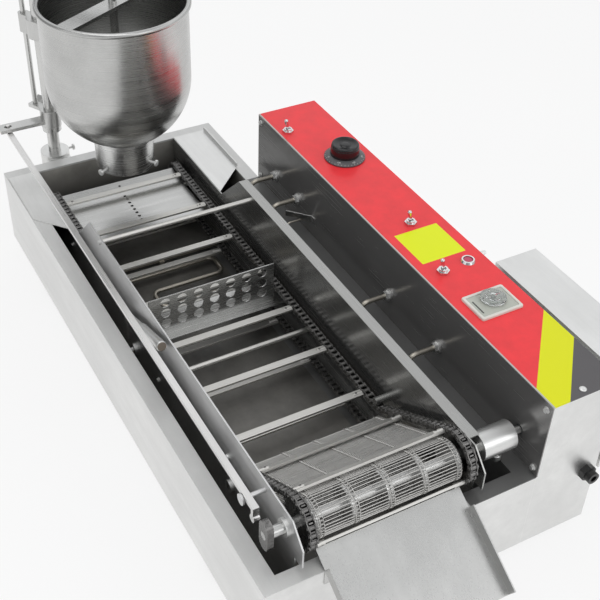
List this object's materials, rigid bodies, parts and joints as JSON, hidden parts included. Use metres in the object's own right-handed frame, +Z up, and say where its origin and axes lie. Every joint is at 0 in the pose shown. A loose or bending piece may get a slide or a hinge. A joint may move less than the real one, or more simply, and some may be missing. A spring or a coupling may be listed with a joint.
{
  "type": "automatic donut frying machine",
  "caption": "Bench-top donut fryer: batter hopper with dosing plunger, oil tank, chain conveyor with push bars, turn-over plate, wire discharge belt and control cabinet.",
  "frame": {"origin": "on the table under the middle of the bounding box", "axes": "+X along the conveyor towards the discharge end, +Y from the front to the control cabinet, +Z up"},
  "size_m": [1.0628, 0.526, 0.4936],
  "materials": {
    "brushed_stainless": "brushed",
    "polished_stainless": "polished",
    "red_enamel": "semi-gloss printed panel",
    "chain_steel": "oiled",
    "screw_steel": "bright",
    "bright_chrome": "polished",
    "black_plastic": "satin",
    "white_plastic": "gloss",
    "clear_plastic": "clear",
    "red_lens": "translucent",
    "heater_steel": "heat-darkened",
    "motor_paint": "satin",
    "foot_rubber": "matte"
  },
  "bodies": {
    "machine_frame": {"outer_housing": "brushed_stainless", "oil_tank": "brushed_stainless", "rubber_feet": "foot_rubber", "cabinet_body": "brushed_stainless", "cabinet_front": "polished_stainless", "control_panel": "red_enamel", "machine_screws": "screw_steel", "motor_cover": "brushed_stainless", "gear_motor": "motor_paint", "contactor": "black_plastic", "power_gland": "black_plastic", "face_tab": "brushed_stainless", "switch_bodies": "bright_chrome", "thermostat_probe": "heater_steel", "timer_case": "white_plastic", "lamp_ring": "bright_chrome", "lamp_lens": "red_lens", "heater_elements": "heater_steel", "heater_glands": "screw_steel", "front_plate": "brushed_stainless", "rear_plate": "brushed_stainless", "front_wing": "brushed_stainless", "rear_wing": "brushed_stainless", "tie_rods": "brushed_stainless", "shaft_bushes": "screw_steel", "drop_plate": "brushed_stainless", "front_chain": "chain_steel", "rear_chain": "chain_steel", "flight_bars": "brushed_stainless", "wire_belt": "brushed_stainless", "discharge_chute": "brushed_stainless", "column_socket": "brushed_stainless", "column_screw": "screw_steel"},
    "drive_set": {"drive_shaft": "polished_stainless", "drive_sprockets": "chain_steel", "belt_wheels": "brushed_stainless", "feed_cam": "chain_steel", "motor_shaft": "polished_stainless", "shaft_coupling": "polished_stainless", "coupling_screw": "screw_steel"},
    "tail_set": {"tail_sprockets": "chain_steel"},
    "belt_idler": {"belt_idler": "brushed_stainless"},
    "flipper": {"flipper_shaft": "polished_stainless", "flipper_plate": "brushed_stainless", "flipper_lever": "brushed_stainless"},
    "link_bar": {"link_bar": "brushed_stainless"},
    "depositor": {"column": "polished_stainless", "hopper_clamp": "brushed_stainless", "hopper_bowl": "polished_stainless", "hopper_outlet": "polished_stainless", "outlet_screws": "screw_steel"},
    "swing_arm": {"swing_arm": "brushed_stainless"},
    "push_rod": {"push_rod": "polished_stainless"},
    "rocker": {"rocker": "polished_stainless"},
    "plunger": {"plunger": "polished_stainless"},
    "thermostat_knob": {"thermostat_knob": "black_plastic"},
    "timer_dial": {"timer_dial": "clear_plastic"},
    "toggle_left": {"toggle_lever_left": "bright_chrome"},
    "toggle_middle": {"toggle_lever_middle": "bright_chrome"},
    "toggle_right": {"toggle_lever_right": "bright_chrome"}
  },
  "joints": [
    {"name": "drive_spin", "type": "hinge", "parent": "machine_frame", "child": "drive_set", "pos_m": [0.38995, -0.09675, 0.1766], "axis": [0, 1, 0], "continuous": true, "deforming": ["front_chain", "rear_chain", "wire_belt"]},
    {"name": "tail_spin", "type": "hinge", "parent": "machine_frame", "child": "tail_set", "pos_m": [-0.39807, -0.09675, 0.08441], "axis": [0, 1, 0], "continuous": true, "deforming": ["front_chain", "rear_chain"]},
    {"name": "belt_idler_spin", "type": "hinge", "parent": "machine_frame", "child": "belt_idler", "pos_m": [0.25699, -0.09675, 0.10613], "axis": [0, 1, 0], "continuous": true, "deforming": ["wire_belt"]},
    {"name": "flipper_tilt", "type": "hinge", "parent": "machine_frame", "child": "flipper", "pos_m": [-0.03965, -0.09675, 0.085], "axis": [0, 1, 0], "range_deg": [-50, 52]},
    {"name": "link_slide", "type": "slide", "parent": "machine_frame", "child": "link_bar", "axis": [1, 0, 0], "range_m": [0, 0.0115]},
    {"name": "column_lift", "type": "slide", "parent": "machine_frame", "child": "depositor", "axis": [0, 0, 1], "range_m": [0, 0.04]},
    {"name": "swing_arm_turn", "type": "hinge", "parent": "depositor", "child": "swing_arm", "pos_m": [-0.49165, -0.169, 0.1945], "axis": [0, 0, 1], "range_deg": [0, 9.42]},
    {"name": "push_rod_lift", "type": "slide", "parent": "depositor", "child": "push_rod", "axis": [0, 0, 1], "range_m": [0, 0.00493]},
    {"name": "rocker_tip", "type": "hinge", "parent": "depositor", "child": "rocker", "pos_m": [-0.49165, -0.169, 0.48], "axis": [-0.4746, 0.8802, 0], "range_deg": [0, 9.42]},
    {"name": "plunger_drop", "type": "slide", "parent": "depositor", "child": "plunger", "axis": [0, 0, 1], "range_m": [-0.02502, 0]},
    {"name": "thermostat_turn", "type": "hinge", "parent": "machine_frame", "child": "thermostat_knob", "pos_m": [-0.11385, 0.1512, 0.25], "axis": [0, 0, 1], "range_deg": [-270, 0]},
    {"name": "timer_turn", "type": "hinge", "parent": "machine_frame", "child": "timer_dial", "pos_m": [0.25095, 0.1472, 0.25], "axis": [0, 0, 1], "range_deg": [-300, 0]},
    {"name": "toggle_left_flip", "type": "hinge", "parent": "machine_frame", "child": "toggle_left", "pos_m": [-0.21165, 0.1105, 0.2535], "axis": [1, 0, 0], "range_deg": [-24, 0]},
    {"name": "toggle_middle_flip", "type": "hinge", "parent": "machine_frame", "child": "toggle_middle", "pos_m": [0.06885, 0.1458, 0.2535], "axis": [1, 0, 0], "range_deg": [-24, 0]},
    {"name": "toggle_right_flip", "type": "hinge", "parent": "machine_frame", "child": "toggle_right", "pos_m": [0.17605, 0.1247, 0.2535], "axis": [1, 0, 0], "range_deg": [-24, 0]}
  ],
  "couplings": [
    {"joint": "tail_spin", "follows": "drive_spin", "ratio": 1.1111},
    {"joint": "belt_idler_spin", "follows": "drive_spin", "ratio": 2.2},
    {"joint": "swing_arm_turn", "follows": "link_slide", "rad_per_m": 14.286},
    {"joint": "push_rod_lift", "follows": "link_slide", "ratio": 0.42839},
    {"joint": "rocker_tip", "follows": "link_slide", "rad_per_m": 14.28},
    {"joint": "plunger_drop", "follows": "link_slide", "ratio": -2.1739}
  ]
}
